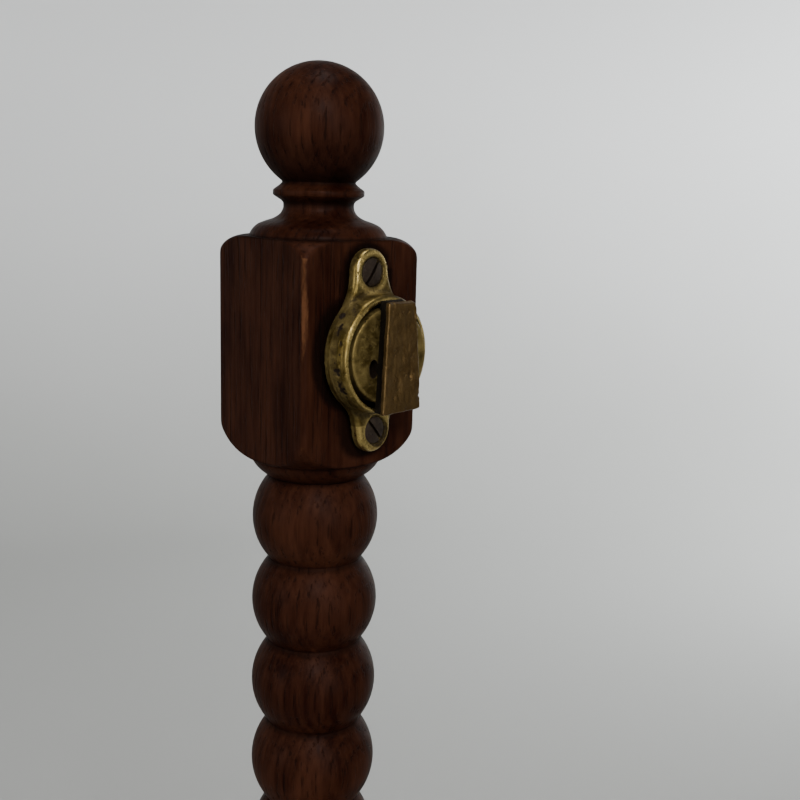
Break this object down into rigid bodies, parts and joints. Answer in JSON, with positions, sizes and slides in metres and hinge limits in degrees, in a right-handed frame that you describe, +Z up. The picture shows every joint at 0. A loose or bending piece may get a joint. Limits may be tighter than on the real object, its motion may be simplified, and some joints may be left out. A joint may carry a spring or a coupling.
{
  "type": "tilt top table",
  "caption": "Turned oak table whose rectangular top lifts off dovetail brass swivels and tilts between two bobbin posts.",
  "frame": {"origin": "on the floor under the middle of the table", "axes": "+Z up, X along the tilt axis from one post to the other, -Y towards the front"},
  "size_m": [0.6, 0.33, 0.7204],
  "materials": {
    "oak_turned": "dark stained and french polished, satin",
    "oak_board": "dark stained and french polished, satin",
    "aged_brass": "cast, aged and rubbed bright on the edges",
    "dark_steel": "browned steel",
    "leather": "dull brown leather"
  },
  "bodies": {
    "stand": {"post_left": "oak_turned", "trestle_foot_left": "oak_turned", "bun_foot_left_front": "oak_turned", "bun_foot_left_back": "oak_turned", "swivel_housing_left": "aged_brass", "spring_washer_left": "dark_steel", "housing_screw_left_upper": "dark_steel", "housing_screw_left_lower": "dark_steel", "stretcher_peg_left": "oak_turned", "shelf_peg_left": "oak_turned", "post_right": "oak_turned", "trestle_foot_right": "oak_turned", "bun_foot_right_front": "oak_turned", "bun_foot_right_back": "oak_turned", "swivel_housing_right": "aged_brass", "spring_washer_right": "dark_steel", "housing_screw_right_upper": "dark_steel", "housing_screw_right_lower": "dark_steel", "stretcher_peg_right": "oak_turned", "shelf_peg_right": "oak_turned", "bobbin_stretcher": "oak_turned", "lower_shelf": "oak_board"},
    "packing": {"packing_disc_left": "leather", "packing_disc_right": "leather"},
    "top": {"top_cleat_left": "oak_board", "top_socket_left": "aged_brass", "socket_screw_left_upper": "dark_steel", "socket_screw_left_lower": "dark_steel", "top_cleat_right": "oak_board", "top_socket_right": "aged_brass", "socket_screw_right_upper": "dark_steel", "socket_screw_right_lower": "dark_steel", "top_board_lower": "oak_board", "top_board_middle": "oak_board", "top_board_upper": "oak_board"},
    "swivel_left": {"swivel_tongue_left": "aged_brass"},
    "swivel_right": {"swivel_tongue_right": "aged_brass"}
  },
  "joints": [
    {"name": "top_lift", "type": "slide", "parent": "stand", "child": "packing", "axis": [0, 0, 1], "range_m": [0, 0.3205]},
    {"name": "top_tilt", "type": "hinge", "parent": "packing", "child": "top", "pos_m": [0, 0.0021, 0.3264], "axis": [-1, 0, 0], "range_deg": [0, 90]},
    {"name": "swivel_left_turn", "type": "hinge", "parent": "stand", "child": "swivel_left", "pos_m": [-0.252, 0.0021, 0.6469], "axis": [-1, 0, 0], "range_deg": [0, 90]},
    {"name": "swivel_right_turn", "type": "hinge", "parent": "stand", "child": "swivel_right", "pos_m": [0.252, 0.0021, 0.6469], "axis": [-1, 0, 0], "range_deg": [0, 90]}
  ],
  "couplings": [
    {"joint": "swivel_left_turn", "follows": "top_tilt", "ratio": 1},
    {"joint": "swivel_right_turn", "follows": "top_tilt", "ratio": 1}
  ]
}
